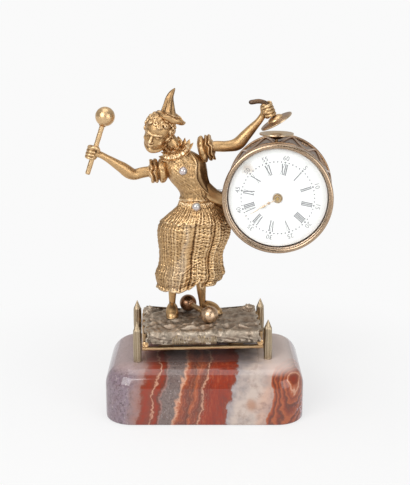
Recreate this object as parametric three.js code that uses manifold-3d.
// A figural table clock: a gilt bronze circus drummer on a plank stage, on a block of banded agate,
// with a watch movement in the bass drum at the figure's side.
// Millimetres, +Z up, and the front looks towards -Y. The origin is the middle of the stone's underside.
import * as THREE from "three";
import { mergeVertices } from "three/addons/utils/BufferGeometryUtils.js";
import Module from "manifold-3d";

const wasm = await Module();
wasm.setup();

// Clearances
const SEAT_GAP = 0.3; // between castings that are cut to each other
const RUNNING_GAP = 0.15; // round an arbor in its hole
const PIVOT_PLAY = 0.2; // end play of an arbor between its plates

// Agate block
const BASE_WIDTH = 72;
const BASE_DEPTH = 47;
const BASE_HEIGHT = 21;
const BASE_CORNER = 10; // plan radius of the upright edges
const BASE_SHOULDER = 8.5; // radius of the polished top edge
const BASE_FOOT_CHAMFER = 0.8;

// Plank stage
const STAGE_AT = new THREE.Vector2(-1.35, 0.3);
const STAGE_TURN = THREE.MathUtils.degToRad(3.4);
const STAGE_WIDTH = 43.8;
const STAGE_DEPTH = 28.6;
const STAGE_CLEAR = 8; // from the stone to the underside of the planks
const PLANK_THICK = 3;
const PLANK_COUNT = 6;
const PLANK_GROOVE = 0.5;
const POST_RADIUS = 1.5;
const POST_HEIGHT = 15;
const POST_POINT = 3.2; // height of the cut point
const POST_SIDES = 8;
const LOG_RADIUS = 1.1;
const RAIL_RADIUS = 0.75;
const LOG_HEIGHT = STAGE_CLEAR - LOG_RADIUS - SEAT_GAP / 3; // from the stone to the middle of the log
const RAIL_HEIGHT = LOG_HEIGHT - LOG_RADIUS - RAIL_RADIUS - SEAT_GAP / 3; // the rails lie under the logs
const BOLT_RADIUS = 1.5;
const BOLT_HEAD_RADIUS = 3.2;
const BOLT_HEAD_THICK = 2.2;
const BOLT_SPREAD = 26; // between the two bolts
const BOLT_POCKET_DEPTH = 4.5;
const BOLT_THREAD = 6.5; // length in the boss
const BOSS_RADIUS = 3;

// Rug over the planks
const RUG_WIDTH = 36;
const RUG_DEPTH = 25;
const RUG_THICK = 1;
const RUG_WAVE = 0.45; // depth of the folds in its top
const RUG_DROP = 2.6; // length that hangs over the front edge
const RUG_COLUMNS = 13;
const RUG_ROWS = 6;

// Dumbbell on the rug
const BELL_RADIUS = 3.2;
const BELL_BAR_RADIUS = 1;
const BELL_REAR = new THREE.Vector2(-6.2, 7.7);
const BELL_FRONT = new THREE.Vector2(1.9, -6.8);

// Figure, measured from the top of the rug
const LEG_PEG_RADIUS = 0.9;
const LEG_SOCKET_DEPTH = 5;
const SKIRT_HEM = 13;
const SKIRT_LOBES = 8;
const SKIRT_FOLD = 0.055; // share of the radius
const SKIRT_CELL = 1.9; // one quilted cell of the cloth
const SKIRT_PUFF = 0.16; // rise of a cell over its corners, both ways from the level of the cloth
const SKIRT_PLEATS = 5.5; // height of the pleated band
const SKIRT_YOKE = 2.6; // smooth band between the pleats and the waist
const WAIST = 44;
const WAIST_PEG_RADIUS = 2.4;
const WAIST_PEG_LENGTH = 6;
const NECK_RADIUS = 2.7;
const NECK_PEG_RADIUS = 1.2;
const NECK_PEG_LENGTH = 3;
const ARM_PEG_RADIUS = 1.3;
const PEARL_RADIUS = 1.55;
const STICK_RADIUS = 0.9;
const MALLET_RADIUS = 3.55;
const HAT_BRIM_RADIUS = 5.2;
const COLLAR_RADIUS = 6;
const COLLAR_PETALS = 9;

// Cymbals
const HAND_CYMBAL_RADIUS = 6.2;
const DRUM_CYMBAL_RADIUS = 6.2;
const CYMBAL_THICK = 0.5;
const CYMBAL_BELL_RADIUS = 2.9;
const CYMBAL_BELL_HEIGHT = 1.2;
const CYMBAL_DISH = 0.5; // fall from the bell to the rim
const CYMBAL_SCREW_RADIUS = 0.6;
const STRAP_WIDTH = 2;
const STRAP_THICK = 1.2;

// Drum case: its own Z runs out through the dial, and its Y is up
const DRUM_TURN = THREE.MathUtils.degToRad(-5.7);
const DRUM_HALF = 13.3; // half the depth over the hoops
const SHELL_RADIUS = 18.8;
const SHELL_WALL = 0.9;
const SHELL_BORE = SHELL_RADIUS - SHELL_WALL;
const HOOP_RISE = 0.8; // over the shell
const HOOP_RADIUS = SHELL_RADIUS + HOOP_RISE;
const HOOP_WIDTH = 3;
const DRUM_SIDE = 8.1; // from the figure's middle to the shell's near side
const DRUM_TOP = 23; // top of the hoops, above the waist
const DRUM_FORWARD = 1.5;
const DRUM_AT = new THREE.Vector3(DRUM_SIDE + SHELL_RADIUS, DRUM_FORWARD, WAIST + DRUM_TOP - HOOP_RADIUS);
const SPIGOT_STEP = 0.1; // from the shell's outside in to the bezel's seat
const SPIGOT_RADIUS = SHELL_RADIUS - SPIGOT_STEP;
const SPIGOT_LENGTH = 0.9;
const CORD_THICK = 0.5;
const CORD_WIDTH = 1.5;
const CORD_BENDS = 12; // front bends of the zigzag
const CORD_PHASE = THREE.MathUtils.degToRad(16.7); // keeps the cord clear of the two screws
const BEZEL_RISE = 0.2; // over the hoops
const BEZEL_RADIUS = HOOP_RADIUS + BEZEL_RISE;
const BEZEL_LENGTH = 2.4;
const SIGHT_STEP = 0.1; // from the bore out to the bezel's sight edge
const BEZEL_LIP = SHELL_BORE + SIGHT_STEP;
const GLASS_THICK = 0.6;
const GLASS_RISE = 1.3;
const COVER_RADIUS = HOOP_RADIUS - SEAT_GAP;
const COVER_THICK = 0.9;
const HINGE_PIN_RADIUS = 0.5;
const HINGE_EYE_RADIUS = 1.2;
const HINGE_EYE_LENGTH = 3;
const BRACKET_SCREW_RADIUS = 0.6;

// Watch movement, placed along the drum's Z
const DIAL_RADIUS = SHELL_BORE - SEAT_GAP;
const DIAL_SET_BACK = 2.9; // from the drum's front edge
const DIAL_FACE = DRUM_HALF - DIAL_SET_BACK; // level of the enamel at its rim
const DIAL_THICK = 0.8;
const DIAL_CROWN = 0.25; // the enamel's rise to the middle
const DIAL_HOLE = 1.6;
const PLATE_RADIUS = SHELL_BORE - SEAT_GAP;
const PLATE_THICK = 1.5;
const MOTION_ROOM = 2.1; // between the dial and the front plate
const TRAIN_ROOM = 5.1; // between the two plates
const LEDGE_THICK = 1.1;
const LEDGE_WIDTH = 1.6;
const LEDGE_BORE = SHELL_BORE - LEDGE_WIDTH;
const LEDGE_PLAY = 0.2; // round the back plate, which goes in through the ledge
const BACK_PLATE_RADIUS = LEDGE_BORE - LEDGE_PLAY;
const BACK_PLATE_THICK = 1.2;
const PILLAR_RADIUS = 1.2;
const PILLAR_CIRCLE = BACK_PLATE_RADIUS - PILLAR_RADIUS - SEAT_GAP;
const WHEEL_THICK = 0.4;

// Toothed pairs: the wheel's teeth, the pinion's leaves and the module. The train fills the plates,
// so that its modules and wheels follow the plates' radius.
const TRAIN_MODULE = PLATE_RADIUS / 86;
const BARREL_PAIR = { teeth: 48, leaves: 6, module: 1.5 * TRAIN_MODULE };
const CENTRE_PAIR = { teeth: 48, leaves: 6, module: 1.05 * TRAIN_MODULE };
const THIRD_PAIR = { teeth: 45, leaves: 6, module: 0.95 * TRAIN_MODULE };
const FOURTH_PAIR = { teeth: 48, leaves: 6, module: 0.8 * TRAIN_MODULE };
const MINUTE_PAIR = { teeth: 30, leaves: 10, module: TRAIN_MODULE };
const HOUR_PAIR = { teeth: 40, leaves: 10, module: 0.8 * TRAIN_MODULE };
const ARBOR_RADIUS = 1.5 * TRAIN_MODULE;
const ESCAPE_TEETH = 15;
const ESCAPE_RADIUS = 12.5 * TRAIN_MODULE;
const RATCHET_TEETH = 24;
const RATCHET_RADIUS = 15 * TRAIN_MODULE;
const BALANCE_RADIUS = 27.5 * TRAIN_MODULE;
const HAIRSPRING_TURNS = 3;

// Where each arbor stands from the one before, in degrees
const BARREL_BEARING = 140;
const THIRD_BEARING = 20;
const FOURTH_BEARING = -90;
const ESCAPE_BEARING = 225;
const BALANCE_BEARING = 200;
const MINUTE_BEARING = 250;

// The hands stand at about twenty-two minutes to eight on a dial that is set a little clockwise
const DIAL_TURN = THREE.MathUtils.degToRad(-11);
const HOUR_READING = 7 + 38 / 60;
const MINUTE_READING = 38;
const HOUR_HAND_LENGTH = DIAL_RADIUS / 2;
const MINUTE_HAND_SHORT = 4; // from the dial's edge to the hand's tip
const MINUTE_HAND_LENGTH = DIAL_RADIUS - MINUTE_HAND_SHORT;
const HAND_THICK = 0.25;

const ROUND = 26; // sides of the large turned pieces
const SMALL_ROUND = 12;

// Materials
const finish = (color, roughness, metalness) =>
  new THREE.MeshStandardMaterial({ color, roughness, metalness });
const GILT = finish(0xc29755, 0.32, 1);
const PATINA = finish(0x76695a, 0.55, 1);
const DRUM_GILT = finish(0xc4ab8a, 0.35, 1);
const AGATE = finish(0xa8584a, 0.12, 0);
const PEARL = finish(0xe2dcda, 0.2, 0);
const ENAMEL = finish(0xf2f1ee, 0.15, 0);
const BRASS = finish(0xc9a24d, 0.3, 1);
const STEEL = finish(0x9a9ca1, 0.28, 1);
const GLASS = new THREE.MeshStandardMaterial({
  color: 0xf4f8fa,
  roughness: 0.02,
  transparent: true,
  opacity: 0.2,
});

// Joining and cutting closed geometries

function solidOf(geometry) {
  const flat = geometry.index ? geometry.toNonIndexed() : geometry;
  const bare = new THREE.BufferGeometry().setAttribute("position", flat.getAttribute("position"));
  const merged = mergeVertices(bare, 1e-4);
  const corners = merged.index.array;
  const faces = [];
  for (let i = 0; i < corners.length; i += 3) {
    const [a, b, c] = [corners[i], corners[i + 1], corners[i + 2]];
    if (a !== b && b !== c && c !== a) faces.push(a, b, c);
  }
  const build = (triVerts) =>
    new wasm.Manifold(
      new wasm.Mesh({
        numProp: 3,
        vertProperties: new Float32Array(merged.getAttribute("position").array),
        triVerts: new Uint32Array(triVerts),
      }),
    );
  const made = build(faces);
  return made.volume() > 0 ? made : build(faces.reverse());
}

function geometryOf(solid) {
  const mesh = solid.getMesh();
  return new THREE.BufferGeometry()
    .setAttribute("position", new THREE.BufferAttribute(new Float32Array(mesh.vertProperties), 3))
    .setIndex(new THREE.BufferAttribute(new Uint32Array(mesh.triVerts), 1));
}

const join = (first, ...rest) =>
  geometryOf(rest.reduce((whole, next) => whole.add(solidOf(next)), solidOf(first)));
const cut = (first, ...tools) =>
  geometryOf(tools.reduce((whole, tool) => whole.subtract(solidOf(tool)), solidOf(first)));

// Basic closed forms, all upright along Z

function rod(radius, bottom, top, sides = SMALL_ROUND) {
  return new THREE.CylinderGeometry(radius, radius, top - bottom, sides)
    .rotateX(Math.PI / 2)
    .translate(0, 0, (top + bottom) / 2);
}

function block(width, depth, bottom, top) {
  return new THREE.BoxGeometry(width, depth, top - bottom).translate(0, 0, (top + bottom) / 2);
}

function turned(profile, sides = ROUND) {
  const points = profile.map(([radius, level]) => new THREE.Vector2(radius, level));
  return new THREE.LatheGeometry(points, sides).rotateX(Math.PI / 2);
}

function ring(inner, outer, bottom, top, sides = ROUND) {
  return turned([[inner, bottom], [outer, bottom], [outer, top], [inner, top], [inner, bottom]], sides);
}

function ball(radius, centre, scale = [1, 1, 1], across = 14, up = 9) {
  return new THREE.SphereGeometry(radius, across, up)
    .rotateX(Math.PI / 2)
    .scale(...scale)
    .translate(...centre);
}

function sheetOf(shape, bottom, top, curveSegments = 6) {
  return new THREE.ExtrudeGeometry(shape, { depth: top - bottom, bevelEnabled: false, curveSegments })
    .translate(0, 0, bottom);
}

// A closed skin over rings of equally many points, with a fan over each end.
function loft(rings) {
  const sides = rings[0].length;
  const corners = rings.flat().flatMap((point) => point.toArray());
  const faces = [];
  for (let row = 0; row + 1 < rings.length; row += 1) {
    for (let side = 0; side < sides; side += 1) {
      const next = (side + 1) % sides;
      const [a, b] = [row * sides + side, row * sides + next];
      faces.push(a, b, b + sides, a, b + sides, a + sides);
    }
  }
  for (const [row, turn] of [[0, -1], [rings.length - 1, 1]]) {
    const middle = rings[row].reduce((sum, point) => sum.add(point), new THREE.Vector3()).divideScalar(sides);
    const hub = corners.length / 3;
    corners.push(...middle.toArray());
    for (let side = 0; side < sides; side += 1) {
      const [a, b] = [row * sides + side, row * sides + ((side + 1) % sides)];
      faces.push(hub, turn > 0 ? a : b, turn > 0 ? b : a);
    }
  }
  const geometry = new THREE.BufferGeometry();
  geometry.setAttribute("position", new THREE.Float32BufferAttribute(corners, 3));
  geometry.setIndex(faces);
  return geometry;
}

function oval(x, y, z, radiusX, radiusY, sides, lobes = 0, fold = 0) {
  return Array.from({ length: sides }, (_, side) => {
    const angle = (2 * Math.PI * side) / sides;
    const swell = 1 + fold * Math.cos(lobes * angle);
    return new THREE.Vector3(x + radiusX * swell * Math.cos(angle), y + radiusY * swell * Math.sin(angle), z);
  });
}

// A round limb along a smooth path. Its radii are spread evenly over the path's length.
function limb(path, radii, sides = 10, steps = 8, grow = 0) {
  const curve = new THREE.CatmullRomCurve3(path.map((point) => new THREE.Vector3(...point)));
  const frames = curve.computeFrenetFrames(steps);
  const rings = Array.from({ length: steps + 1 }, (_, step) => {
    const place = (step / steps) * (radii.length - 1);
    const before = Math.min(Math.floor(place), radii.length - 2);
    const radius = THREE.MathUtils.lerp(radii[before], radii[before + 1], place - before) + grow;
    const centre = curve.getPointAt(step / steps);
    return Array.from({ length: sides }, (_, side) => {
      const angle = (2 * Math.PI * side) / sides;
      return centre
        .clone()
        .addScaledVector(frames.normals[step], radius * Math.cos(angle))
        .addScaledVector(frames.binormals[step], radius * Math.sin(angle));
    });
  });
  return loft(rings);
}

// Turns a form made along Z so that it points along a direction, and moves it to a place.
function aimed(geometry, direction, place) {
  const turn = new THREE.Quaternion().setFromUnitVectors(
    new THREE.Vector3(0, 0, 1),
    new THREE.Vector3(...direction).normalize(),
  );
  return geometry.applyQuaternion(turn).translate(...place);
}

function piece(parent, name, geometry, material) {
  const mesh = new THREE.Mesh(geometryOf(solidOf(geometry)), material);
  mesh.name = name;
  parent.add(mesh);
  return mesh;
}

// Groups: the stage and the figure stand on the stone, and the drum hangs beside the figure
const clock = new THREE.Group();
const floorTop = STAGE_CLEAR + PLANK_THICK; // above the stone
const rugTop = floorTop + RUG_THICK;
const stage = new THREE.Group();
stage.position.set(STAGE_AT.x, STAGE_AT.y, BASE_HEIGHT);
stage.rotation.z = STAGE_TURN;
const figure = new THREE.Group();
figure.position.set(0, 0, BASE_HEIGHT + rugTop);
const drum = new THREE.Group();
drum.position.copy(DRUM_AT);
drum.rotation.set(Math.PI / 2, 0, DRUM_TURN, "ZYX");
clock.add(stage, figure);
figure.add(drum);
clock.updateMatrixWorld(true);

// A point of the stone's or the figure's plan, seen from the turned stage.
const onStage = (x, y) =>
  new THREE.Vector2(x, y).sub(STAGE_AT).rotateAround(new THREE.Vector2(), -STAGE_TURN);
// A form made in the drum's frame, carried into the figure's frame.
const fromDrum = (geometry) => geometry.applyMatrix4(drum.matrix);
const intoDrum = (geometry) => geometry.applyMatrix4(drum.matrix.clone().invert());
const boltPlaces = [-BOLT_SPREAD / 2, BOLT_SPREAD / 2];

// Agate block with a pocket and a bore for each stage bolt

function roundedOutline(width, depth, radius, level) {
  const points = [];
  const stepsPerCorner = 5;
  const corners = [[1, 1], [-1, 1], [-1, -1], [1, -1]];
  corners.forEach(([signX, signY], quarter) => {
    for (let step = 0; step <= stepsPerCorner; step += 1) {
      const angle = (Math.PI / 2) * (quarter + step / stepsPerCorner);
      points.push(
        new THREE.Vector3(
          signX * (width / 2 - radius) + radius * Math.cos(angle),
          signY * (depth / 2 - radius) + radius * Math.sin(angle),
          level,
        ),
      );
    }
  });
  return points;
}

function agateBlock() {
  const inset = (amount, level) =>
    roundedOutline(BASE_WIDTH - 2 * amount, BASE_DEPTH - 2 * amount, BASE_CORNER - amount, level);
  const rings = [inset(BASE_FOOT_CHAMFER, 0), inset(0, BASE_FOOT_CHAMFER)];
  const shoulderSteps = 4;
  for (let step = 0; step <= shoulderSteps; step += 1) {
    const angle = (Math.PI / 2) * (step / shoulderSteps);
    rings.push(
      inset(BASE_SHOULDER * (1 - Math.cos(angle)), BASE_HEIGHT - BASE_SHOULDER * (1 - Math.sin(angle))),
    );
  }
  const bores = boltPlaces.flatMap((along) => {
    const place = new THREE.Vector3(along, 0, 0).applyMatrix4(stage.matrix);
    return [
      rod(BOLT_RADIUS + SEAT_GAP, -1, BASE_HEIGHT + 1).translate(place.x, place.y, 0),
      rod(BOLT_HEAD_RADIUS + SEAT_GAP, -1, BOLT_POCKET_DEPTH).translate(place.x, place.y, 0),
    ];
  });
  return cut(loft(rings), ...bores);
}

piece(clock, "agate_base", agateBlock(), AGATE);

// Stage: posts, logs, rails, planks and bolts

const legPegs = [onStage(-12.1, 3.6), onStage(1.2, 7)]; // under the two feet
const postAcross = STAGE_WIDTH / 2 + POST_RADIUS + SEAT_GAP;
const postAlong = STAGE_DEPTH / 2 - POST_RADIUS;
const logAcross = postAcross - POST_RADIUS - LOG_RADIUS - SEAT_GAP;

function plankFloor() {
  const plankDepth = STAGE_DEPTH / PLANK_COUNT;
  const grooves = Array.from({ length: PLANK_COUNT - 1 }, (_, joint) =>
    block(STAGE_WIDTH + 2, PLANK_GROOVE, floorTop - PLANK_GROOVE, floorTop + 1)
      .translate(0, -STAGE_DEPTH / 2 + (joint + 1) * plankDepth, 0),
  );
  const bosses = boltPlaces.map((along) => rod(BOSS_RADIUS, 0, STAGE_CLEAR + 0.5).translate(along, 0, 0));
  const threads = boltPlaces.map((along) =>
    rod(BOLT_RADIUS + RUNNING_GAP, -1, BOLT_THREAD + RUNNING_GAP).translate(along, 0, 0),
  );
  const pegHoles = legPegs.map((peg) =>
    rod(LEG_PEG_RADIUS + SEAT_GAP, STAGE_CLEAR - 1, floorTop + 1).translate(peg.x, peg.y, 0),
  );
  const floor = join(block(STAGE_WIDTH, STAGE_DEPTH, STAGE_CLEAR, floorTop), ...bosses);
  return cut(floor, ...grooves, ...threads, ...pegHoles);
}

function stagePost() {
  const shank = rod(POST_RADIUS, 0, POST_HEIGHT - POST_POINT, POST_SIDES);
  const point = new THREE.CylinderGeometry(POST_RADIUS * 0.15, POST_RADIUS, POST_POINT, POST_SIDES)
    .rotateX(Math.PI / 2)
    .translate(0, 0, POST_HEIGHT - POST_POINT / 2);
  return join(shank, point);
}

for (const [depthName, depthSign] of [["front", -1], ["rear", 1]]) {
  for (const [sideName, sideSign] of [["left", -1], ["right", 1]]) {
    const post = piece(stage, `${depthName}_${sideName}_post`, stagePost(), GILT);
    post.position.set(sideSign * postAcross, depthSign * postAlong, 0);
  }
  const railHalf = postAcross - POST_RADIUS - SEAT_GAP;
  const rail = piece(stage, `${depthName}_rail`, rod(RAIL_RADIUS, -railHalf, railHalf, 10), GILT);
  rail.rotation.y = Math.PI / 2;
  rail.position.set(0, depthSign * postAlong, RAIL_HEIGHT);
}
for (const [sideName, sideSign] of [["left", -1], ["right", 1]]) {
  const log = piece(stage, `${sideName}_log`, rod(LOG_RADIUS, -STAGE_DEPTH / 2, STAGE_DEPTH / 2, 10), GILT);
  log.rotation.x = Math.PI / 2;
  log.position.set(sideSign * logAcross, 0, LOG_HEIGHT);
  const headSeat = BOLT_POCKET_DEPTH - BASE_HEIGHT; // the pocket's roof, from the stage's frame
  const bolt = piece(
    stage,
    `${sideName}_stage_bolt`,
    join(
      rod(BOLT_RADIUS, headSeat - BOLT_HEAD_THICK, BOLT_THREAD),
      rod(BOLT_HEAD_RADIUS, headSeat - BOLT_HEAD_THICK, headSeat - RUNNING_GAP, 6),
    ),
    STEEL,
  );
  bolt.position.x = (sideSign * BOLT_SPREAD) / 2;
}
piece(stage, "stage_floor", plankFloor(), PATINA);

// Rug: a creased cloth that lies on the planks and hangs over their front edge

function rugSheet() {
  const half = RUG_WIDTH / 2;
  const front = -STAGE_DEPTH / 2 - SEAT_GAP;
  const rows = [];
  for (let row = 0; row <= RUG_ROWS; row += 1) {
    const depth = front + (RUG_DEPTH * row) / RUG_ROWS;
    rows.push(
      Array.from({ length: RUG_COLUMNS + 1 }, (_, column) => {
        const across = -half + (RUG_WIDTH * column) / RUG_COLUMNS;
        const wander = 0.8 * Math.sin(1.7 * row) * Math.abs(across / half) ** 4;
        const crease = 0.5 + 0.5 * Math.sin(across * 0.55 + 1.3 * Math.sin(depth * 0.35));
        return new THREE.Vector3(across + wander, depth, rugTop - RUG_WAVE * crease);
      }),
    );
  }
  const skin = (level) => rows.map((line) => line.map((point) => point.clone().setZ(level ?? point.z)));
  const top = skin(null);
  const under = skin(floorTop + SEAT_GAP / 3);
  const slices = top.map((line, row) => [...line, ...under[row].slice().reverse()]);
  const lying = loft(slices);
  const hanging = block(RUG_WIDTH - 1.6, RUG_THICK, rugTop - RUG_THICK - RUG_DROP, rugTop - RUG_WAVE)
    .translate(0, front - RUG_THICK / 2 + 0.01, 0);
  const pegHoles = legPegs.map((peg) =>
    rod(LEG_PEG_RADIUS + SEAT_GAP, floorTop - 1, rugTop + 1).translate(peg.x, peg.y, 0),
  );
  return cut(join(lying, hanging), ...pegHoles);
}

piece(stage, "stage_rug", rugSheet(), PATINA);

// Dumbbell

const bellLevel = BELL_RADIUS + SEAT_GAP / 3;
for (const [name, place] of [["rear", BELL_REAR], ["front", BELL_FRONT]]) {
  const bell = piece(figure, `dumbbell_${name}_ball`, ball(BELL_RADIUS, [0, 0, 0]), GILT);
  bell.position.set(place.x, place.y, bellLevel);
}
const bellSpan = BELL_FRONT.clone().sub(BELL_REAR);
const bellBar = piece(
  figure,
  "dumbbell_bar",
  aimed(
    rod(BELL_BAR_RADIUS, BELL_RADIUS, bellSpan.length() - BELL_RADIUS, 10),
    [bellSpan.x, bellSpan.y, 0],
    [0, 0, 0],
  ),
  GILT,
);
bellBar.position.set(BELL_REAR.x, BELL_REAR.y, bellLevel);

// Legs: each has a riveted peg through the rug and the planks

function leg(calf, calfRadii, foot, footRadii, peg, grow = 0) {
  const body = join(limb(calf, calfRadii, 8, 6, grow), limb(foot, footRadii, 8, 5, grow));
  const sole = block(60, 60, -20, SEAT_GAP / 3);
  const pegFoot = -RUG_THICK - PLANK_THICK - 0.8;
  const pegBody = rod(LEG_PEG_RADIUS, pegFoot, 1.5, 8).translate(peg[0], peg[1], 0);
  return join(cut(body, sole), pegBody);
}

const legSocketTop = SKIRT_HEM + LEG_SOCKET_DEPTH;
const RIGHT_CALF = [[-11.6, 5.4, legSocketTop], [-12, 5.2, 9], [-12.2, 5, 1.4]];
const RIGHT_FOOT = [[-12.2, 6.4, 1.2], [-12.1, 3.2, 1.3], [-12.1, -0.8, 0.7]];
const LEFT_CALF = [[-1.6, 6, legSocketTop], [-1.2, 6.6, 9], [-0.6, 7.9, 1.4]];
const LEFT_FOOT = [[-1.1, 8.6, 1.4], [1.6, 6.9, 1.4], [5, 4.7, 0.7]];
const CALF_RADII = [1.9, 1.8, 1.4];
const FOOT_RADII = [1.2, 1.7, 0.9];
piece(figure, "right_leg", leg(RIGHT_CALF, CALF_RADII, RIGHT_FOOT, FOOT_RADII, [-12.1, 3.6]), GILT);
piece(figure, "left_leg", leg(LEFT_CALF, CALF_RADII, LEFT_FOOT, FOOT_RADII, [1.2, 7]), GILT);

// Skirt: gathered at the waist, full at the hips and split over the left leg

// Each row: share of the way from the hem to the waist, middle X, middle Y, half width, half depth
const SKIRT_ROWS = [
  [0, -6.2, 4.2, 11, 8.2],
  [0.097, -5.4, 4.1, 12.2, 8.5],
  [0.226, -5, 3.9, 11.3, 8.1],
  [0.355, -4.9, 3.7, 11.1, 7.8],
  [0.484, -4.3, 3.5, 12, 8.1],
  [0.613, -3.8, 3.2, 12.8, 8.6],
  [0.726, -3.4, 3, 12.6, 8.6],
  [0.839, -2.9, 3, 10.9, 8],
  [0.923, -2.6, 3, 8.6, 6.9],
  [1, -2.8, 3, 6.5, 5.7],
].map(([share, ...row]) => [THREE.MathUtils.lerp(SKIRT_HEM, WAIST, share), ...row]);
const SKIRT_GATHER = 14; // below the waist, where the folds begin to close up
// Bearing of the deepest fold, from which the others are counted
const SKIRT_DEEPEST_FOLD = THREE.MathUtils.degToRad(216);

// The row of a form at a level, between the rows that are given for it.
function rowAt(rows, level) {
  const found = rows.findIndex((row) => row[0] >= level);
  const above = found < 0 ? rows.length - 1 : Math.max(found, 1);
  const [low, high] = [rows[above - 1], rows[above]];
  const share = (level - low[0]) / (high[0] - low[0]);
  return low.map((value, i) => THREE.MathUtils.lerp(value, high[i], share));
}

// The hem hangs lowest over the right leg and is waved by the folds.
function skirtHem(turn) {
  const slant = 1.5 * Math.cos(turn - THREE.MathUtils.degToRad(25));
  return SKIRT_HEM - 0.9 + slant + 0.35 * Math.cos(9 * turn + 1);
}

// Rounded folds with narrow valleys between them, from -1 to 1.
function skirtFold(turn) {
  const past = turn - SKIRT_DEEPEST_FOLD;
  const warped = past - 0.18 * Math.sin(2 * past);
  return 2 * Math.abs(Math.sin((SKIRT_LOBES / 2) * warped)) ** 0.6 - 1;
}

// A place on the cloth: turn round the skirt, share of the way from hem to waist, rise of the quilting.
function skirtPoint(turn, share, puff) {
  const { smoothstep } = THREE.MathUtils;
  const hem = skirtHem(turn);
  const level = THREE.MathUtils.lerp(hem, WAIST, share);
  const [, x, y, halfWidth, halfDepth] = rowAt(SKIRT_ROWS, level);
  const pleatTop = WAIST - SKIRT_YOKE;
  const quilted = 1 - smoothstep(level, pleatTop - SKIRT_PLEATS - 0.5, pleatTop - SKIRT_PLEATS + 0.5);
  const gather = 1 - 0.85 * smoothstep(level, WAIST - SKIRT_GATHER, pleatTop);
  const fold = SKIRT_FOLD * gather * skirtFold(turn);
  const band = 0.45 * smoothstep(level, pleatTop - SKIRT_PLEATS - 0.6, pleatTop - SKIRT_PLEATS + 0.8);
  const top = 1 - smoothstep(level, pleatTop - 1, pleatTop + 1);
  const swell = SKIRT_PUFF * quilted * puff + band * top;
  return new THREE.Vector3(
    x + (halfWidth * (1 + fold) + swell) * Math.cos(turn),
    y + (halfDepth * (1 + fold) + swell) * Math.sin(turn),
    level,
  );
}

function skirt() {
  const widest = Math.max(...SKIRT_ROWS.map((row) => (row[3] + row[4]) / 2));
  const columns = 2 * Math.max(12, Math.round((2 * Math.PI * widest) / SKIRT_CELL));
  const rows = 2 * Math.max(4, Math.round((WAIST - SKIRT_HEM) / SKIRT_CELL));
  const body = loft(
    Array.from({ length: rows + 1 }, (_, row) =>
      Array.from({ length: columns }, (_, column) => {
        const puff = ((row % 2) + (column % 2)) - 1;
        return skirtPoint((2 * Math.PI * column) / columns, row / rows, puff);
      }),
    ),
  );
  const sockets = [RIGHT_CALF, LEFT_CALF].map((calf) => limb(calf, CALF_RADII, 8, 6, SEAT_GAP));
  const waistSocket = rod(WAIST_PEG_RADIUS + SEAT_GAP, WAIST - WAIST_PEG_LENGTH - SEAT_GAP, WAIST + 1)
    .translate(SKIRT_ROWS.at(-1)[1], SKIRT_ROWS.at(-1)[2], 0);
  const split = new THREE.ConeGeometry(2.6, 9, 12).rotateX(Math.PI / 2).scale(1, 2.6, 1);
  split.translate(-1.5, -4, SKIRT_HEM + 2.5);
  return cut(body, ...sockets, waistSocket, split, ...pearls.map(pearlPocket));
}

// Bodice: leans over the right hip, with a peg at the waist and sockets for the neck

// Each row: height above the waist, middle X, middle Y, half width, half depth
const BODICE_ROWS = [
  [SEAT_GAP, -2.9, 3, 5.9, 5.2],
  [3, -3.2, 2.9, 5.8, 5],
  [6, -4.6, 2.7, 6.6, 5.2],
  [9, -6, 2.5, 7.3, 5.6],
  [12, -6.8, 2.4, 7.7, 5.7],
  [15, -7.4, 2.4, 7.4, 5.3],
  [17.5, -8.7, 2.4, 5.6, 4.5],
  [19, -9.8, 2.4, 3.6, 3.4],
];
const NECK_ROOT = [-9.9, 2.3, WAIST + BODICE_ROWS.at(-1)[0]];
const HEAD_AT = [-15.4, 0.9, NECK_ROOT[2] + 7.4];
const NECK_PATH = [
  [NECK_ROOT[0] + 0.6, NECK_ROOT[1], NECK_ROOT[2] - 1],
  [-11.7, 1.9, NECK_ROOT[2] + 2.4],
  HEAD_AT,
];
const neckPeg = (grow) =>
  rod(NECK_PEG_RADIUS + grow, NECK_ROOT[2] - NECK_PEG_LENGTH - grow, NECK_ROOT[2] + 1.2)
    .translate(NECK_ROOT[0], NECK_ROOT[1], 0);

function bodiceBody(grow = 0) {
  const sides = 16;
  return loft(
    BODICE_ROWS.map(([rise, x, y, halfWidth, halfDepth], row) => {
      const end = row === 0 ? -grow : row === BODICE_ROWS.length - 1 ? grow : 0;
      return oval(x, y, WAIST + rise + end, halfWidth + grow, halfDepth + grow, sides);
    }),
  );
}

function bodice() {
  const peg = rod(WAIST_PEG_RADIUS, WAIST - WAIST_PEG_LENGTH, WAIST + 1)
    .translate(SKIRT_ROWS.at(-1)[1], SKIRT_ROWS.at(-1)[2], 0);
  return cut(join(bodiceBody(), peg), neckPeg(SEAT_GAP), ...pearls.map(pearlPocket));
}

// A pearl's middle stands a little proud of the front of a form.
function pearlAt(rows, level, x) {
  const [, middleX, middleY, halfWidth, halfDepth] = rowAt(rows, level);
  const off = (x - middleX) / halfWidth;
  return [x, middleY - halfDepth * Math.sqrt(1 - off * off) - PEARL_RADIUS * 0.45];
}

// One pearl is set in the bodice, the other in the skirt's smooth band.
const pearls = [
  [...pearlAt(BODICE_ROWS, 12.2, -7.6), WAIST + 12.2],
  [...pearlAt(SKIRT_ROWS, WAIST - SKIRT_YOKE / 3, -2.9), WAIST - SKIRT_YOKE / 3],
];
const pearlPocket = (place) => ball(PEARL_RADIUS + SEAT_GAP, place, [1, 1, 1], 10, 6);
piece(figure, "skirt", skirt(), GILT);
piece(figure, "bodice", bodice(), GILT);
["upper_pearl", "lower_pearl"].forEach((name, i) => {
  piece(figure, name, ball(PEARL_RADIUS, [0, 0, 0], [1, 1, 1], 10, 6), PEARL).position.set(...pearls[i]);
});

// Head with side locks, hat and pleated collar

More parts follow.
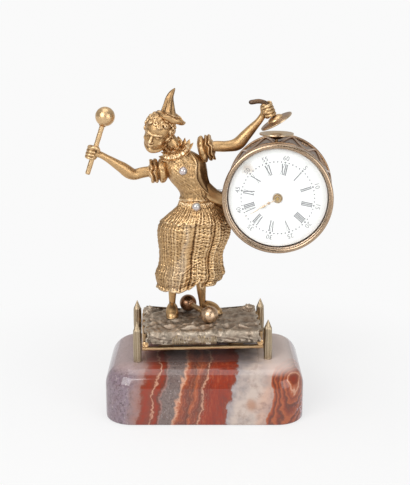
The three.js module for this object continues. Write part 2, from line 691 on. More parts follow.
function headBody(grow = 0) {
  const [x, y, z] = HEAD_AT;
  const skull = ball(5 + grow, HEAD_AT, [1, 1, 1.16], 12, 8);
  const neck = limb(NECK_PATH, [NECK_RADIUS, NECK_RADIUS * 0.95, NECK_RADIUS], 10, 3, grow);
  const jaw = ball(3.3 + grow, [x - 0.9, y - 1.6, z - 3.6], [1, 1, 1.05], 10, 6);
  const nose = ball(1.05 + grow, [x - 2.6, y - 4.9, z - 0.9], [1, 1.1, 1.3], 7, 5);
  const locks = [
    [-4.6, -0.6, 2.4, 1.9],
    [-4.9, -0.2, 0, 1.6],
    [3.4, -2.6, 1.6, 1.8],
    [4.1, -1.9, -0.6, 1.6],
  ].map(([dx, dy, dz, radius]) => ball(radius + grow, [x + dx, y + dy, z + dz], [1, 1, 1], 6, 4));
  return join(skull, neck, jaw, nose, ...locks);
}

const head = () => join(cut(headBody(), bodiceBody(SEAT_GAP)), neckPeg(0));

const HAT_AXIS = [0.42, -0.06, 0.9];
const HAT_AT = [HEAD_AT[0] + 2.6, HEAD_AT[1] + 0.2, HEAD_AT[2] + 5];

function hat() {
  const [x, y, z] = HAT_AT;
  const brim = aimed(
    turned(
      [[0, -0.5], [HAT_BRIM_RADIUS - 0.5, 0], [HAT_BRIM_RADIUS, 0.9], [HAT_BRIM_RADIUS - 0.8, 1], [0, 0.8]],
      15,
    ),
    HAT_AXIS,
    HAT_AT,
  );
  const crown = limb(
    [[x - 0.2, y, z], [x + 0.1, y, z + 4], [x + 0.8, y, z + 8], [x + 2.5, y, z + 10.6]],
    [3, 2.1, 1.15, 0.35],
    10,
    6,
  );
  return cut(join(brim, crown), headBody(SEAT_GAP));
}

const COLLAR_AXIS = [-0.36, -0.3, 0.88];

function collar() {
  const sides = 3 * COLLAR_PETALS;
  const rings = [[0.25, 0.2], [1, -0.6], [1.02, 0.3], [0.25, 1.2]].map(([share, level]) => {
    const fold = share > 0.5 ? 0.1 : 0;
    return oval(0, 0, level, COLLAR_RADIUS * share, COLLAR_RADIUS * share, sides, COLLAR_PETALS, fold);
  });
  const frill = aimed(loft(rings), COLLAR_AXIS, [-10.3, 2, NECK_ROOT[2] - 0.4]);
  const puffs = [
    sleevePuff(RIGHT_SHOULDER, RIGHT_ARM, RIGHT_SLEEVE_RADII, SEAT_GAP),
    sleevePuff(LEFT_SHOULDER, LEFT_ARM, LEFT_SLEEVE_RADII, SEAT_GAP),
  ];
  return cut(frill, headBody(SEAT_GAP), bodiceBody(SEAT_GAP), neckPeg(SEAT_GAP), ...puffs);
}

piece(figure, "head", head(), GILT);
piece(figure, "hat", hat(), GILT);

// Puffed sleeves and arms: each arm has a peg in its sleeve

const RIGHT_SHOULDER = [-13.2, 2.4, WAIST + 11.4];
const LEFT_SHOULDER = [-2.2, 2.4, WAIST + 18.6];
const RIGHT_ARM = [
  [-20.2, 2.4, WAIST + 10.8],
  [-22.8, 2.2, WAIST + 10.4],
  [-25, 1.7, WAIST + 9.9],
  [-30, -0.4, WAIST + 13.1],
  [-34.2, -1.9, WAIST + 16.1],
  [-36.9, -2.8, WAIST + 17.8],
  [-38.5, -3.2, WAIST + 18.5],
];
const drumTop = WAIST + DRUM_TOP; // the left arm reaches over the drum
const LEFT_ARM = [
  [3.6, 2.2, WAIST + 20],
  [7.4, 2.8, WAIST + 19.9],
  [11.9, 3.6, drumTop - 2.3],
  [14.9, 3.8, drumTop + 0.8],
  [17.4, 3.2, drumTop + 3.7],
  [19.5, 2.3, drumTop + 6.2],
  [21.3, 1.9, drumTop + 9],
];
const RIGHT_ARM_RADII = [1.9, 2, 2.25, 1.9, 1.5, 1.2, 1.2];
const LEFT_ARM_RADII = [1.9, 2, 2.3, 2.05, 1.8, 1.55, 1.4];

const between = (from, to, share) => from.map((value, i) => THREE.MathUtils.lerp(value, to[i], share));
const along = (from, to) => new THREE.Vector3(...to).sub(new THREE.Vector3(...from)).normalize();
const armPeg = (shoulder, arm, grow) => {
  const path = [0.3, 0.7, 1.15].map((share) => between(shoulder, arm[0], share));
  const radius = ARM_PEG_RADIUS + grow;
  return limb(path, [radius, radius, radius], 8, 2);
};

function sleevePuff(shoulder, arm, radii, grow = 0) {
  const cuff = between(shoulder, arm[0], 0.94);
  const path = [shoulder, between(shoulder, cuff, 0.3), between(shoulder, cuff, 0.62), cuff];
  return limb(path, radii, 12, 8, grow);
}

function sleeve(shoulder, arm, radii, armRadii) {
  const armRoom = limb(arm, armRadii, 8, 9, SEAT_GAP);
  const puff = sleevePuff(shoulder, arm, radii);
  return cut(puff, bodiceBody(SEAT_GAP), armPeg(shoulder, arm, SEAT_GAP), armRoom);
}

const RIGHT_SLEEVE_RADII = [3, 4.4, 3.5, 4.1, 2.9];
const LEFT_SLEEVE_RADII = [3.4, 5, 3.9, 4.5, 3];
piece(figure, "right_sleeve", sleeve(RIGHT_SHOULDER, RIGHT_ARM, RIGHT_SLEEVE_RADII, RIGHT_ARM_RADII), GILT);
piece(figure, "left_sleeve", sleeve(LEFT_SHOULDER, LEFT_ARM, LEFT_SLEEVE_RADII, LEFT_ARM_RADII), GILT);
piece(figure, "collar", collar(), GILT);

// Mallet in the right fist
const RIGHT_FIST = [-39.3, -3.4, WAIST + 18.6];
const STICK_LOW = [-41.7, -3.4, WAIST + 10.9];
const MALLET_AT = [-34.9, -3.4, WAIST + 31.5];

const stickAxis = along(STICK_LOW, MALLET_AT);
const stickReach = new THREE.Vector3(...MALLET_AT).distanceTo(new THREE.Vector3(...STICK_LOW));
const stickLength = stickReach - MALLET_RADIUS;
const stick = (grow = 0) =>
  aimed(rod(STICK_RADIUS + grow, -grow, stickLength + grow, 10), stickAxis, STICK_LOW);

// A closed fist: a palm, four fingers bent round a grip line, and a thumb.
function fist(centre, grip, outward) {
  const side = new THREE.Vector3(...outward).normalize();
  const depth = new THREE.Vector3().crossVectors(side, grip).normalize();
  const at = (g, s, d) =>
    new THREE.Vector3(...centre)
      .addScaledVector(grip, g)
      .addScaledVector(side, s)
      .addScaledVector(depth, d)
      .toArray();
  const palm = ball(2.5, at(0, -0.1, 0.1), [1, 1, 1], 9, 6);
  const fingers = [-1.7, -0.55, 0.6, 1.75].map((step) =>
    limb([at(step, 0.4, 1.9), at(step, 1.7, 0.4), at(step, 1.3, -1.3)], [0.66, 0.74, 0.62], 6, 2),
  );
  const thumb = limb([at(1.4, -1.4, -1.5), at(2, -0.3, -2), at(1.2, 0.9, -2.1)], [0.8, 0.75, 0.55], 5, 2);
  return join(palm, ...fingers, thumb);
}

function arm(shoulder, path, radii, hand, ...held) {
  const whole = join(limb(path, radii, 8, 9), armPeg(shoulder, path, 0), hand);
  return held.length ? cut(whole, ...held) : whole;
}

const rightFist = fist(RIGHT_FIST, stickAxis, [-1, -0.4, 0.2]);
const rightArm = arm(RIGHT_SHOULDER, RIGHT_ARM, RIGHT_ARM_RADII, rightFist, stick(SEAT_GAP));
piece(figure, "right_arm", rightArm, GILT);
piece(figure, "mallet_stick", stick(), GILT);
const mallet = piece(figure, "mallet_ball", ball(MALLET_RADIUS - SEAT_GAP / 3, [0, 0, 0]), GILT);
mallet.position.set(...MALLET_AT);

// Cymbals: one held by its strap, one screwed to the top of the drum

function cymbal(radius) {
  const bellTop = CYMBAL_BELL_HEIGHT;
  const waist = CYMBAL_BELL_RADIUS;
  return turned(
    [
      [0, bellTop - CYMBAL_THICK],
      [waist * 0.7, bellTop * 0.65 - CYMBAL_THICK],
      [waist, -CYMBAL_THICK],
      [radius, -CYMBAL_THICK - CYMBAL_DISH],
      [radius, -CYMBAL_DISH],
      [waist + 0.2, 0],
      [waist * 0.75, bellTop * 0.75],
      [0, bellTop],
    ],
    20,
  );
}

const HAND_CYMBAL_AXIS = [-0.5, -0.05, 0.865];
const HAND_CYMBAL_AT = [25.3, 1.7, drumTop + 6.8];
const LEFT_FIST = [22.4, 1.7, drumTop + 10];
const STRAP_PATH = [
  [HAND_CYMBAL_AT[0] - 1, 1.7, HAND_CYMBAL_AT[2] + CYMBAL_BELL_HEIGHT + 0.7],
  [LEFT_FIST[0] + 0.6, 1.7, LEFT_FIST[2] - 0.2],
  [LEFT_FIST[0] - 0.6, 1.7, LEFT_FIST[2] + 2.5],
  [LEFT_FIST[0] - 2.7, 1.7, LEFT_FIST[2] + 3.2],
  [LEFT_FIST[0] - 5.7, 1.7, LEFT_FIST[2] + 2.9],
];

function strap(grow = 0) {
  const curve = new THREE.CatmullRomCurve3(STRAP_PATH.map((point) => new THREE.Vector3(...point)));
  const steps = 12;
  const widthways = new THREE.Vector3(0, 1, 0);
  const rings = Array.from({ length: steps + 1 }, (_, step) => {
    const centre = curve.getPointAt(step / steps);
    const up = new THREE.Vector3().crossVectors(curve.getTangentAt(step / steps), widthways).normalize();
    const corner = (w, t) =>
      centre
        .clone()
        .addScaledVector(widthways, w * (STRAP_WIDTH / 2 + grow))
        .addScaledVector(up, t * (STRAP_THICK / 2 + grow));
    return [corner(1, 1), corner(-1, 1), corner(-1, -1), corner(1, -1)];
  });
  return loft(rings);
}

const heldCymbal = () => aimed(cymbal(HAND_CYMBAL_RADIUS), HAND_CYMBAL_AXIS, HAND_CYMBAL_AT);

// Everything under the held cymbal's upper skin, for cutting what rests on it.
function underCymbal() {
  const deep = -8;
  const waist = CYMBAL_BELL_RADIUS + SEAT_GAP;
  const bellTop = CYMBAL_BELL_HEIGHT + SEAT_GAP;
  const rim = HAND_CYMBAL_RADIUS + 2;
  const skin = [
    [rim, SEAT_GAP - CYMBAL_DISH],
    [waist + 0.2, SEAT_GAP],
    [waist * 0.8, bellTop * 0.8],
    [0, bellTop],
  ];
  const room = turned([[0, deep], [rim, deep], ...skin], 24);
  return aimed(room, HAND_CYMBAL_AXIS, HAND_CYMBAL_AT);
}

piece(figure, "hand_cymbal", heldCymbal(), DRUM_GILT);
piece(figure, "cymbal_strap", cut(strap(), underCymbal()), PATINA);
const leftFist = fist(LEFT_FIST, along(STRAP_PATH[1], STRAP_PATH[2]), [0.9, -0.5, 0.3]);
const leftArm = arm(LEFT_SHOULDER, LEFT_ARM, LEFT_ARM_RADII, leftFist, strap(SEAT_GAP), underCymbal());
piece(figure, "left_arm", leftArm, GILT);

// Drum case: a shell with two hoops, a seat for the bezel, a ledge for the movement and hinge eyes

const dialBack = DIAL_FACE - DIAL_THICK;
const frontPlateTop = dialBack - MOTION_ROOM;
const frontPlateBack = frontPlateTop - PLATE_THICK;
const backPlateTop = frontPlateBack - TRAIN_ROOM;
const backPlateBack = backPlateTop - BACK_PLATE_THICK;
const ledgeTop = frontPlateBack - RUNNING_GAP;
const spigotRoot = DRUM_HALF - BEZEL_LENGTH;
const hingeLevel = -DRUM_HALF - SEAT_GAP - COVER_THICK - 0.35; // behind the cover, so that it rests shut
const hingeDrop = -HOOP_RADIUS - HINGE_EYE_RADIUS - SEAT_GAP;
const CYMBAL_OFFSET = -1.1; // across the drum, from its middle
const cymbalSeat = Math.sqrt(SHELL_RADIUS ** 2 - CYMBAL_OFFSET ** 2);
const cymbalRim = HOOP_RADIUS + 1.4; // level of the drum cymbal's dish over the drum's axis
const acrossDrum = (geometry) => geometry.rotateY(Math.PI / 2);
const uprightInDrum = (geometry) => geometry.rotateX(-Math.PI / 2);

// One eye of the cover's hinge, and the bore for its pin
const hingeEye = (across, grow = 0, longer = 0) =>
  acrossDrum(
    rod(HINGE_EYE_RADIUS + grow, -HINGE_EYE_LENGTH / 2 - longer, HINGE_EYE_LENGTH / 2 + longer),
  ).translate(across, hingeDrop, hingeLevel);
const hingeBore = () =>
  acrossDrum(rod(HINGE_PIN_RADIUS + RUNNING_GAP, -3 * HINGE_EYE_LENGTH, 3 * HINGE_EYE_LENGTH))
    .translate(0, hingeDrop, hingeLevel);

function drumShell() {
  const band = turned([
    [SHELL_BORE, -DRUM_HALF],
    [HOOP_RADIUS, -DRUM_HALF],
    [HOOP_RADIUS, -DRUM_HALF + HOOP_WIDTH],
    [SHELL_RADIUS, -DRUM_HALF + HOOP_WIDTH],
    [SHELL_RADIUS, spigotRoot - HOOP_WIDTH],
    [HOOP_RADIUS, spigotRoot - HOOP_WIDTH],
    [HOOP_RADIUS, spigotRoot],
    [SPIGOT_RADIUS, spigotRoot],
    [SPIGOT_RADIUS, spigotRoot + SPIGOT_LENGTH],
    [SHELL_BORE, spigotRoot + SPIGOT_LENGTH],
    [SHELL_BORE, ledgeTop],
    [LEDGE_BORE, ledgeTop],
    [LEDGE_BORE, ledgeTop - LEDGE_THICK],
    [SHELL_BORE, ledgeTop - LEDGE_THICK],
    [SHELL_BORE, -DRUM_HALF],
  ]);
  const eyes = [-1, 1].map((side) => {
    const middle = side * (HINGE_EYE_LENGTH + SEAT_GAP);
    const eye = hingeEye(middle);
    const hoopBack = -DRUM_HALF + SEAT_GAP;
    const lugBottom = hingeDrop - HINGE_EYE_RADIUS * 0.6;
    const lug = (top, from, to) =>
      block(HINGE_EYE_LENGTH, top - lugBottom, from, to).translate(middle, (top + lugBottom) / 2, 0);
    const stem = join(
      lug(-HOOP_RADIUS - SEAT_GAP, hingeLevel, hoopBack + 1),
      lug(-HOOP_RADIUS + 1, hoopBack, -DRUM_HALF + HOOP_WIDTH),
    );
    return join(eye, stem);
  });
  const screwBore = acrossDrum(rod(BRACKET_SCREW_RADIUS + RUNNING_GAP, -HOOP_RADIUS - 1, -LEDGE_BORE + 3));
  const cymbalBore = uprightInDrum(
    rod(CYMBAL_SCREW_RADIUS + RUNNING_GAP, LEDGE_BORE - 3, HOOP_RADIUS + 2).translate(CYMBAL_OFFSET, 0, 0),
  );
  return cut(join(band, ...eyes), hingeBore(), screwBore, cymbalBore);
}

piece(drum, "drum_shell", drumShell(), DRUM_GILT);
piece(
  drum,
  "back_hinge_pin",
  acrossDrum(rod(HINGE_PIN_RADIUS, -1.5 * HINGE_EYE_LENGTH - 0.6, 1.5 * HINGE_EYE_LENGTH + 0.6)),
  STEEL,
).position.set(0, hingeDrop, hingeLevel);

// The tension cord runs in one zigzag round the shell, between the hoops.
function drumCord() {
  const low = -DRUM_HALF + HOOP_WIDTH + SEAT_GAP + CORD_WIDTH / 2;
  const high = spigotRoot - HOOP_WIDTH - SEAT_GAP - CORD_WIDTH / 2;
  const stepsPerLeg = 2;
  const steps = 2 * CORD_BENDS * stepsPerLeg;
  const point = (step, radius, shift) => {
    const angle = (2 * Math.PI * step) / steps + CORD_PHASE;
    const phase = (step / stepsPerLeg) % 2;
    const level = THREE.MathUtils.lerp(low, high, phase <= 1 ? phase : 2 - phase) + shift;
    return new THREE.Vector3(radius * Math.cos(angle), radius * Math.sin(angle), level);
  };
  const inner = SHELL_RADIUS + 0.12;
  const outer = SHELL_RADIUS + CORD_THICK;
  const faces = [];
  const corners = [];
  for (let step = 0; step < steps; step += 1) {
    for (const [radius, shift] of [[inner, -1], [outer, -1], [outer, 1], [inner, 1]]) {
      corners.push(...point(step, radius, (shift * CORD_WIDTH) / 2).toArray());
    }
    const next = (step + 1) % steps;
    for (let side = 0; side < 4; side += 1) {
      const [a, b] = [4 * step + side, 4 * step + ((side + 1) % 4)];
      const [c, d] = [4 * next + side, 4 * next + ((side + 1) % 4)];
      faces.push(a, c, b, b, c, d);
    }
  }
  const geometry = new THREE.BufferGeometry();
  geometry.setAttribute("position", new THREE.Float32BufferAttribute(corners, 3));
  geometry.setIndex(faces);
  return geometry;
}

piece(drum, "drum_cord", drumCord(), DRUM_GILT);

// Drum cymbal: dish upwards, on a short boss, held by a screw from above

function drumCymbal() {
  const dish = uprightInDrum(cymbal(DRUM_CYMBAL_RADIUS).rotateX(Math.PI))
    .translate(CYMBAL_OFFSET, cymbalRim - CYMBAL_THICK, 0);
  const bore = uprightInDrum(rod(CYMBAL_SCREW_RADIUS + RUNNING_GAP, SHELL_RADIUS - 4, cymbalRim + 4))
    .translate(CYMBAL_OFFSET, 0, 0);
  // The rim is notched round the forearm.
  const forearm = intoDrum(limb(LEFT_ARM, LEFT_ARM_RADII, 8, 9, SEAT_GAP));
  return cut(dish, bore, forearm);
}

piece(drum, "drum_cymbal", drumCymbal(), DRUM_GILT);
const bellSeat = cymbalRim - CYMBAL_BELL_HEIGHT; // inside of the bell
piece(
  drum,
  "cymbal_screw",
  uprightInDrum(
    join(
      rod(CYMBAL_SCREW_RADIUS, cymbalSeat - 2, bellSeat + 0.8),
      rod(CYMBAL_SCREW_RADIUS + 0.6, bellSeat + 0.5, bellSeat + 1.1),
    ),
  ).translate(CYMBAL_OFFSET, 0, 0),
  GILT,
);

// Bracket from the hip to the drum, with its screw

const cordEnvelope = (grow) =>
  fromDrum(rod(SHELL_RADIUS + CORD_THICK + grow, -DRUM_HALF - 2, DRUM_HALF + 2, 48));

function drumBracket() {
  const screwLevel = DRUM_AT.z;
  const from = [-1, 3, screwLevel + 0.6];
  const to = [DRUM_AT.x - SHELL_RADIUS + 2, DRUM_AT.y, screwLevel - 0.4];
  const hip = limb([from, between(from, to, 0.5), to], [4.2, 3.2, 3.4], 12, 5);
  const skirtTop = loft(
    SKIRT_ROWS.map(([level, x, y, halfWidth, halfDepth]) => {
      const top = level === WAIST ? level + SEAT_GAP : level;
      return oval(x, y, top, halfWidth + 2 * SEAT_GAP, halfDepth + 2 * SEAT_GAP, 24);
    }),
  );
  const thread = fromDrum(acrossDrum(rod(BRACKET_SCREW_RADIUS + RUNNING_GAP, -SHELL_RADIUS - 5, 0)));
  return cut(hip, bodiceBody(SEAT_GAP), skirtTop, cordEnvelope(SEAT_GAP), thread);
}

piece(figure, "drum_bracket", drumBracket(), GILT);
piece(
  drum,
  "bracket_screw",
  acrossDrum(
    join(
      rod(BRACKET_SCREW_RADIUS, -SHELL_RADIUS - 4, -SHELL_BORE + 1),
      rod(BRACKET_SCREW_RADIUS + 0.8, -SHELL_BORE + 0.6, -SHELL_BORE + 1.6),
    ),
  ),
  STEEL,
);

// Bezel and glass: they pull off the spigot together

function bezel() {
  const back = spigotRoot + SEAT_GAP / 3;
  const seat = SPIGOT_RADIUS + RUNNING_GAP;
  const lipBack = DRUM_HALF - 0.9;
  return turned([
    [seat, back],
    [BEZEL_RADIUS, back],
    [BEZEL_RADIUS, DRUM_HALF - 0.4],
    [BEZEL_RADIUS - 0.5, DRUM_HALF + 0.2],
    [BEZEL_LIP, DRUM_HALF],
    [BEZEL_LIP, lipBack],
    [seat, lipBack],
    [seat, back],
  ]);
}

function watchGlass() {
  const edge = SPIGOT_RADIUS - SEAT_GAP;
  const rim = spigotRoot + SPIGOT_LENGTH + RUNNING_GAP;
  const inside = BEZEL_LIP - SEAT_GAP;
  const flange = rim + GLASS_THICK * 0.6;
  const dome = [[0, 1], [0.5, 0.8], [0.85, 0.3], [1, 0]];
  const under = dome.map(([across, rise]) => [inside * across, rim + GLASS_RISE * rise]);
  const over = under.map(([radius, height]) => [radius, height + GLASS_THICK]).reverse();
  return turned([...under, [edge, rim], [edge, flange], [inside, flange], ...over], 20);
}

piece(drum, "bezel", bezel(), DRUM_GILT);
piece(drum, "watch_glass", watchGlass(), GLASS);

// Hinged back cover

function backCover() {
  const front = -DRUM_HALF - SEAT_GAP;
  const back = front - COVER_THICK;
  const dish = turned([[0, front], [COVER_RADIUS, front], [COVER_RADIUS - 0.4, back], [0, back - 0.5]]);
  const eye = hingeEye(0);
  const leaf = block(HINGE_EYE_LENGTH, 3.4, back, front).translate(0, hingeDrop + 1.7, 0);
  const eyeRoom = [-1, 1].map((side) =>
    hingeEye(side * (HINGE_EYE_LENGTH + SEAT_GAP), SEAT_GAP, SEAT_GAP / 2),
  );
  return cut(join(dish, eye, leaf), hingeBore(), ...eyeRoom);
}

piece(drum, "back_cover", backCover(), DRUM_GILT);

// Toothed wheels. A tooth narrows from its root to its tip; at rest it points along +X.

function toothed(teeth, root, tip, rootShare, tipShare) {
  const shape = new THREE.Shape();
  const pitch = (2 * Math.PI) / teeth;
  for (let tooth = 0; tooth < teeth; tooth += 1) {
    const flanks = [[-rootShare, root], [-tipShare, tip], [tipShare, tip], [rootShare, root]];
    flanks.forEach(([share, radius], corner) => {
      if (corner === 2 && tipShare === 0) return;
      if (corner === 3 && rootShare === 1) return;
      const angle = pitch * (tooth + share / 2);
      const method = tooth === 0 && corner === 0 ? "moveTo" : "lineTo";
      shape[method](radius * Math.cos(angle), radius * Math.sin(angle));
    });
  }
  shape.closePath();
  return shape;
}

const pitchRadius = (count, module) => (count * module) / 2;
const reach = (pair) => pitchRadius(pair.teeth + pair.leaves, pair.module);
const wheelRim = ({ teeth, module }) => {
  const pitch = pitchRadius(teeth, module);
  return toothed(teeth, pitch - 1.15 * module, pitch + 0.9 * module, 1, 0);
};
const pinionRim = ({ leaves, module }) => {
  const pitch = pitchRadius(leaves, module);
  return toothed(leaves, pitch - 1.3 * module, pitch + 0.55 * module, 0.4, 0.2);
};
const bearing = (degrees, distance, from = new THREE.Vector2()) => {
  const angle = THREE.MathUtils.degToRad(degrees);
  return new THREE.Vector2(Math.cos(angle), Math.sin(angle)).multiplyScalar(distance).add(from);
};

// A wheel's tooth and a pinion's gap both lie on the line between their arbors.
const wheelFacing = (degrees) => THREE.MathUtils.degToRad(degrees);
const pinionFacing = (degrees, leaves) => THREE.MathUtils.degToRad(degrees + 180) + Math.PI / leaves;

const centreAt = new THREE.Vector2();
const barrelAt = bearing(BARREL_BEARING, reach(BARREL_PAIR));
const thirdAt = bearing(THIRD_BEARING, reach(CENTRE_PAIR));
const fourthAt = bearing(FOURTH_BEARING, reach(THIRD_PAIR), thirdAt);
const escapeAt = bearing(ESCAPE_BEARING, reach(FOURTH_PAIR), fourthAt);
const balanceAt = bearing(BALANCE_BEARING, ESCAPE_RADIUS + ARBOR_RADIUS + SEAT_GAP, escapeAt);
const minuteAt = bearing(MINUTE_BEARING, reach(MINUTE_PAIR));

// Levels of the train, from the front plate backwards
const centreLevel = frontPlateBack - 1;
const thirdLevel = centreLevel - 1.5;
const fourthLevel = thirdLevel - 1.5;
const barrelTop = centreLevel - SEAT_GAP;
const barrelBase = backPlateTop + 2 * PIVOT_PLAY;
const escapeLevel = fourthLevel + 1;

const arborFront = frontPlateTop - PIVOT_PLAY;
const arborBack = backPlateBack + PIVOT_PLAY;
const arbor = (front = arborFront, back = arborBack) => rod(ARBOR_RADIUS, back, front, 8);
const level = (shape, bottom, thick = WHEEL_THICK) => sheetOf(shape, bottom, bottom + thick);
const pinionLength = WHEEL_THICK + 2 * PIVOT_PLAY;
const pinion = (pair, degrees, bottom, thick = pinionLength) =>
  level(pinionRim(pair), bottom, thick).rotateZ(pinionFacing(degrees, pair.leaves));

function mounted(name, geometry, place, material = BRASS) {
  const mesh = piece(drum, name, geometry, material);
  mesh.position.set(place.x, place.y, 0);
  return mesh;
}

// Plates with their pillars and pivot holes

const pivots = [thirdAt, fourthAt, escapeAt, balanceAt];
const pillarPlaces = [30, 205, 265].map((degrees) => bearing(degrees, PILLAR_CIRCLE));
const rodAt = (place, radius, bottom, top) => rod(radius, bottom, top, 8).translate(place.x, place.y, 0);

function frontPlate() {
  const disc = turned([
    [0, frontPlateBack], [PLATE_RADIUS, frontPlateBack], [PLATE_RADIUS, dialBack - RUNNING_GAP],
    [PLATE_RADIUS - 1, dialBack - RUNNING_GAP], [PLATE_RADIUS - 1, frontPlateTop], [0, frontPlateTop],
  ]);
  const pillars = pillarPlaces.map((place) =>
    rodAt(place, PILLAR_RADIUS, backPlateTop + RUNNING_GAP, frontPlateBack + 0.5),
  );
  const stud = rodAt(minuteAt, ARBOR_RADIUS, frontPlateTop - 0.5, dialBack - PIVOT_PLAY);
  const hole = (place, radius) => rodAt(place, radius + RUNNING_GAP, frontPlateBack - 1, frontPlateTop + 1);
  const holes = [...pivots, barrelAt].map((place) => hole(place, ARBOR_RADIUS));
  return cut(join(disc, ...pillars, stud), ...holes, hole(centreAt, CENTRE_ARBOR_RADIUS));
}

function backPlate() {
  const disc = rod(BACK_PLATE_RADIUS, backPlateBack, backPlateTop, ROUND);
  const hole = (place, radius) => rodAt(place, radius + RUNNING_GAP, backPlateBack - 1, backPlateTop + 1);
  const holes = [...pivots, centreAt].map((place) => hole(place, ARBOR_RADIUS));
  return cut(disc, ...holes, hole(barrelAt, WINDING_RADIUS));
}

const CENTRE_ARBOR_RADIUS = 0.6;
const WINDING_RADIUS = 1;
const HOUR_PIPE_RADIUS = 1.3;
piece(drum, "front_plate", frontPlate(), BRASS);
piece(drum, "back_plate", backPlate(), BRASS);

// Going train

function barrel() {
  const rim = pitchRadius(BARREL_PAIR.teeth, BARREL_PAIR.module) - 1.6 * BARREL_PAIR.module;
  const body = join(
    rod(rim, barrelBase, barrelTop, 24),
    level(wheelRim(BARREL_PAIR), barrelBase).rotateZ(wheelFacing(BARREL_BEARING + 180)),
  );
  return cut(body, rod(WINDING_RADIUS + RUNNING_GAP, barrelBase - 1, barrelTop + 1));
}

function centreWheel() {
  const tipLevel = handLevels.minute + HAND_THICK + 0.3;
  return join(
    rod(CENTRE_ARBOR_RADIUS, backPlateTop + PIVOT_PLAY, tipLevel, 12),
    rod(ARBOR_RADIUS, arborBack, backPlateTop + 1, 10),
    level(wheelRim(CENTRE_PAIR), centreLevel).rotateZ(wheelFacing(THIRD_BEARING)),
    pinion(BARREL_PAIR, BARREL_BEARING + 180, barrelBase - PIVOT_PLAY, 1.2),
    pinion(MINUTE_PAIR, MINUTE_BEARING + 180, frontPlateTop + PIVOT_PLAY, 0.6),
  );
}

function trainWheel(driver, driverBearing, driverLevel, pair, pairBearing, pairLevel) {
  return join(
    arbor(),
    pinion(driver, driverBearing, driverLevel - PIVOT_PLAY),
    level(wheelRim(pair), pairLevel).rotateZ(wheelFacing(pairBearing)),
  );
}

function escapeWheel() {
  const rim = toothed(ESCAPE_TEETH, ESCAPE_RADIUS - 0.8, ESCAPE_RADIUS, 1, 0);
  return join(
    arbor(),
    pinion(FOURTH_PAIR, ESCAPE_BEARING, fourthLevel - PIVOT_PLAY),
    level(rim, escapeLevel).rotateZ(wheelFacing(BALANCE_BEARING) + Math.PI / ESCAPE_TEETH),
  );
}

// Hands: each is a thin blade with a bead, made along +Y and turned to its reading

const handLevels = { hour: DIAL_FACE + DIAL_CROWN + 0.4, minute: DIAL_FACE + DIAL_CROWN + 1 };

function hand(length, eye, bore, bead, bottom) {
  const blade = new THREE.Shape();
  blade.moveTo(-0.35, eye * 0.8);
  blade.lineTo(-0.16, length * 0.34);
  blade.quadraticCurveTo(-bead, length * 0.4, -0.14, length * 0.48);
  blade.lineTo(-0.05, length);
  blade.lineTo(0.05, length);
  blade.lineTo(0.14, length * 0.48);
  blade.quadraticCurveTo(bead, length * 0.4, 0.16, length * 0.34);
  blade.lineTo(0.35, eye * 0.8);
  const top = bottom + HAND_THICK;
  const plate = join(sheetOf(blade, bottom, top, 4), rod(eye, bottom, top, 16));
  return cut(plate, rod(bore, bottom - 1, bottom + 1, 12));
}

const clockwise = (share) => DIAL_TURN - 2 * Math.PI * share;
const hourBore = HOUR_PIPE_RADIUS + RUNNING_GAP;
const minuteBore = CENTRE_ARBOR_RADIUS + RUNNING_GAP;
const hourHand = hand(HOUR_HAND_LENGTH, 2, hourBore, 0.9, handLevels.hour);
const minuteHand = hand(MINUTE_HAND_LENGTH, 1.3, minuteBore, 0.8, handLevels.minute);
piece(drum, "hour_hand", hourHand.rotateZ(clockwise(HOUR_READING / 12)), GILT);
piece(drum, "minute_hand", minuteHand.rotateZ(clockwise(MINUTE_READING / 60)), GILT);

mounted("mainspring_barrel", barrel(), barrelAt);
mounted("centre_wheel", centreWheel(), centreAt);
mounted(
  "third_wheel",
  trainWheel(CENTRE_PAIR, THIRD_BEARING, centreLevel, THIRD_PAIR, FOURTH_BEARING, thirdLevel),
  thirdAt,
);
mounted(
  "fourth_wheel",
  trainWheel(THIRD_PAIR, FOURTH_BEARING, thirdLevel, FOURTH_PAIR, ESCAPE_BEARING, fourthLevel),
  fourthAt,
);
mounted("escape_wheel", escapeWheel(), escapeAt, STEEL);

// Winding arbor with its ratchet wheel and click

const ratchetLevel = backPlateBack - PIVOT_PLAY - WHEEL_THICK;

function windingArbor() {
  const square = block(1.3, 1.3, ratchetLevel - 4, ratchetLevel + 0.1);
  return join(
    rod(WINDING_RADIUS, ratchetLevel, barrelTop - PIVOT_PLAY),
    rod(ARBOR_RADIUS, barrelTop - 1, arborFront, 10),
    level(toothed(RATCHET_TEETH, RATCHET_RADIUS - 0.5, RATCHET_RADIUS, 1, 0), ratchetLevel),
    square,
  );
}

const CLICK_BEARING = 40;
const clickAt = bearing(CLICK_BEARING, RATCHET_RADIUS + 2.2, barrelAt);

function click() {
  const pawl = new THREE.Shape();
  const tip = THREE.MathUtils.degToRad(CLICK_BEARING + 180);
  const out = new THREE.Vector2(Math.cos(tip), Math.sin(tip));
  const across = new THREE.Vector2(-out.y, out.x);
  const at = (o, a) => out.clone().multiplyScalar(o).addScaledVector(across, a);
  const heel = [at(-0.8, -0.8), at(-0.8, 0.8)];
  const point = [at(1.2, 0.6), at(2.15, 0.05), at(2.15, -0.05), at(1.2, -0.6)];
  pawl.setFromPoints([...heel, ...point]);
  const stud = rod(ARBOR_RADIUS, ratchetLevel - 0.3, backPlateBack - RUNNING_GAP, 10);
  return join(level(pawl, ratchetLevel), stud);
}

mounted("winding_arbor", windingArbor(), barrelAt, STEEL);
mounted("ratchet_click", click(), clickAt, STEEL);

// Balance, hairspring and cock on the outside of the back plate

const balanceLevel = backPlateBack - 1.6;
const cockLevel = balanceLevel - 2.4;

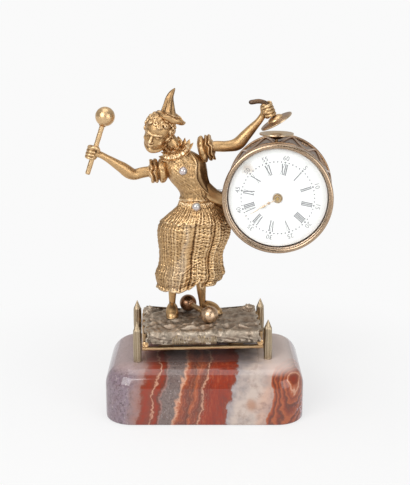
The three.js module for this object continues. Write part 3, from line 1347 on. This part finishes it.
function balanceWheel() {
  const rim = ring(BALANCE_RADIUS - 0.8, BALANCE_RADIUS, balanceLevel, balanceLevel + 0.8, 24);
  const spokes = block(2 * BALANCE_RADIUS - 0.8, 0.8, balanceLevel + 0.1, balanceLevel + 0.6);
  const staff = rod(ARBOR_RADIUS, cockLevel + PIVOT_PLAY, arborFront, 10);
  const hub = rod(0.9, balanceLevel - 0.3, balanceLevel + 0.9, 12);
  return join(rim, spokes, staff, hub);
}

function hairspring() {
  const stepsPerTurn = 12;
  const steps = HAIRSPRING_TURNS * stepsPerTurn;
  const startRadius = ARBOR_RADIUS + RUNNING_GAP;
  const endRadius = BALANCE_RADIUS * 0.55;
  const half = 0.06;
  const bottom = balanceLevel - 1;
  const rings = Array.from({ length: steps + 1 }, (_, step) => {
    const angle = (2 * Math.PI * step) / stepsPerTurn;
    const radius = THREE.MathUtils.lerp(startRadius + half, endRadius, step / steps);
    return [[half, 0], [half, 0.4], [-half, 0.4], [-half, 0]].map(([off, rise]) => {
      const out = radius + off;
      return new THREE.Vector3(out * Math.cos(angle), out * Math.sin(angle), bottom + rise);
    });
  });
  return loft(rings);
}

function balanceCock() {
  const foot = bearing(BALANCE_BEARING + 60, BALANCE_RADIUS + 1.8);
  const span = new THREE.Shape();
  const away = foot.clone().normalize();
  const across = new THREE.Vector2(-away.y, away.x);
  const at = (o, a) => away.clone().multiplyScalar(o).addScaledVector(across, a);
  span.setFromPoints([at(-1.6, -1), at(-1.6, 1), at(foot.length() + 1, 1.8), at(foot.length() + 1, -1.8)]);
  const table = sheetOf(span, cockLevel - 1, cockLevel + 0.2);
  const leg = rod(1.1, cockLevel - 0.5, backPlateBack - RUNNING_GAP).translate(foot.x, foot.y, 0);
  return cut(join(table, leg), rod(ARBOR_RADIUS + RUNNING_GAP, cockLevel - 0.4, cockLevel + 1));
}

mounted("balance_wheel", balanceWheel(), balanceAt);
mounted("hairspring", hairspring(), balanceAt, STEEL);
mounted("balance_cock", balanceCock(), balanceAt);

// Motion work under the dial

const minuteLevel = frontPlateTop + PIVOT_PLAY + 0.1;
const hourLevel = minuteLevel + WHEEL_THICK + 0.5;

function minuteWheel() {
  const body = join(
    level(wheelRim(MINUTE_PAIR), minuteLevel).rotateZ(wheelFacing(MINUTE_BEARING + 180)),
    pinion(HOUR_PAIR, MINUTE_BEARING, minuteLevel, WHEEL_THICK + 1),
  );
  return cut(body, rod(ARBOR_RADIUS + RUNNING_GAP, minuteLevel - 1, dialBack + 1, 10));
}

function hourWheel() {
  const body = join(
    level(wheelRim(HOUR_PAIR), hourLevel).rotateZ(wheelFacing(MINUTE_BEARING)),
    rod(HOUR_PIPE_RADIUS, hourLevel, handLevels.hour + HAND_THICK + 0.1, 14),
  );
  return cut(body, rod(CENTRE_ARBOR_RADIUS + RUNNING_GAP, hourLevel - 1, DRUM_HALF, 12));
}

function dial() {
  return turned([
    [DIAL_HOLE, dialBack],
    [DIAL_RADIUS, dialBack],
    [DIAL_RADIUS, DIAL_FACE - 0.2],
    [DIAL_RADIUS - 0.4, DIAL_FACE],
    [DIAL_RADIUS * 0.5, DIAL_FACE + DIAL_CROWN * 0.8],
    [DIAL_HOLE, DIAL_FACE + DIAL_CROWN],
    [DIAL_HOLE, dialBack],
  ]);
}

mounted("minute_wheel", minuteWheel(), minuteAt);
mounted("hour_wheel", hourWheel(), centreAt);
piece(drum, "dial", dial(), ENAMEL);

export default clock;
